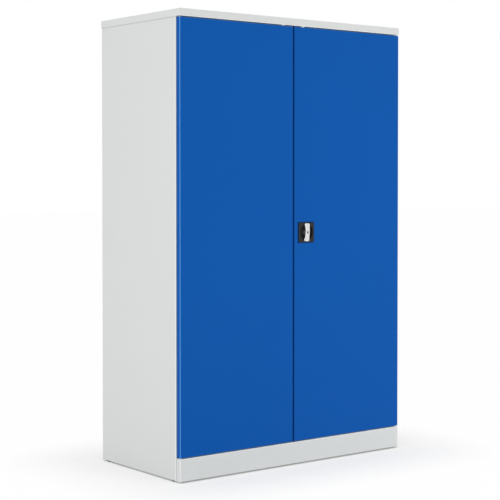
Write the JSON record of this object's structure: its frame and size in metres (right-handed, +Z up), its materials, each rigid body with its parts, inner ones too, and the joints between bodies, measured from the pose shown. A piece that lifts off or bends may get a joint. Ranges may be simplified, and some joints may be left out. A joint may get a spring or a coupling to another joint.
{
  "type": "tool cabinet",
  "caption": "Tall two-door steel cabinet with cap, plinth, shelves and a turn handle that throws locking rods, for storing tools.",
  "frame": {"origin": "middle of the footprint on the floor, under the middle of the whole depth from the grip to the cap's rear edge", "axes": "+X to the right along the front as seen from the front, +Y from the doors to the back, +Z up"},
  "size_m": [1.239, 0.6134, 1.95],
  "materials": {
    "grey_paint": "light grey powder coat, semi-matt",
    "blue_paint": "blue powder coat, satin",
    "zinc_plate": "bright zinc plate",
    "bright_metal": "satin nickel on die-cast metal",
    "black_plastic": "black moulded plastic",
    "white_nylon": "white nylon",
    "black_rubber": "matt"
  },
  "bodies": {
    "cabinet": {"side_panel_left": "grey_paint", "side_panel_right": "grey_paint", "back_panel": "grey_paint", "top_cap": "grey_paint", "plinth": "grey_paint", "floor_panel": "grey_paint", "top_front_rail": "grey_paint", "rear_base_rail": "grey_paint", "shelf_upright_front_left": "grey_paint", "shelf_upright_front_right": "grey_paint", "shelf_upright_rear_left": "grey_paint", "shelf_upright_rear_right": "grey_paint", "shelf_1": "grey_paint", "shelf_2": "grey_paint", "shelf_3": "grey_paint", "shelf_4": "grey_paint", "shelf_clips": "zinc_plate", "base_glides": "black_plastic", "frame_screws": "zinc_plate", "back_rivets": "zinc_plate", "door_buffers": "black_rubber", "door_pads": "white_nylon", "upper_hinge_brackets": "zinc_plate", "lower_hinge_brackets": "zinc_plate", "upper_hinge_pins": "zinc_plate", "lower_hinge_pins": "zinc_plate", "hinge_washers": "white_nylon"},
    "door_left": {"door_left_panel": "blue_paint", "door_left_stiffener": "blue_paint", "door_left_hinge_bushes": "black_plastic", "bolt_brackets": "zinc_plate", "bolt_end_guides": "black_plastic"},
    "door_right": {"door_right_panel": "blue_paint", "door_right_stiffener": "blue_paint", "door_right_hinge_bushes": "black_plastic", "handle_pan": "black_plastic", "lock_case": "zinc_plate", "handle_screws": "zinc_plate", "rod_brackets": "zinc_plate", "rod_end_guides": "black_plastic"},
    "handle": {"handle_grip": "bright_metal", "lock_cam": "zinc_plate", "spindle_clip": "zinc_plate"},
    "lock_plug": {"lock_cylinder": "bright_metal"},
    "upper_rod": {"upper_rod": "zinc_plate"},
    "lower_rod": {"lower_rod": "zinc_plate"},
    "upper_bolt": {"upper_bolt": "zinc_plate"},
    "lower_bolt": {"lower_bolt": "zinc_plate"}
  },
  "joints": [
    {"name": "door_left_hinge", "type": "hinge", "parent": "cabinet", "child": "door_left", "pos_m": [-0.61, -0.28275, 1], "axis": [0, 0, -1], "range_deg": [0, 180]},
    {"name": "door_right_hinge", "type": "hinge", "parent": "cabinet", "child": "door_right", "pos_m": [0.61, -0.28275, 1], "axis": [0, 0, 1], "range_deg": [0, 180]},
    {"name": "handle_turn", "type": "hinge", "parent": "door_right", "child": "handle", "pos_m": [0.058, -0.29475, 1.0175], "axis": [0, -1, 0], "range_deg": [0, 90]},
    {"name": "key_turn", "type": "hinge", "parent": "handle", "child": "lock_plug", "pos_m": [0.058, -0.29475, 1.0175], "axis": [0, -1, 0], "range_deg": [0, 90]},
    {"name": "upper_rod_slide", "type": "slide", "parent": "door_right", "child": "upper_rod", "axis": [0, 0, 1], "range_m": [0, 0.02]},
    {"name": "lower_rod_slide", "type": "slide", "parent": "door_right", "child": "lower_rod", "axis": [0, 0, -1], "range_m": [0, 0.02]},
    {"name": "upper_bolt_slide", "type": "slide", "parent": "door_left", "child": "upper_bolt", "axis": [0, 0, 1], "range_m": [0, 0.014]},
    {"name": "lower_bolt_slide", "type": "slide", "parent": "door_left", "child": "lower_bolt", "axis": [0, 0, -1], "range_m": [0, 0.014]}
  ],
  "couplings": [
    {"joint": "upper_rod_slide", "follows": "handle_turn", "m_per_rad": 0.012732},
    {"joint": "lower_rod_slide", "follows": "handle_turn", "m_per_rad": 0.012732}
  ]
}
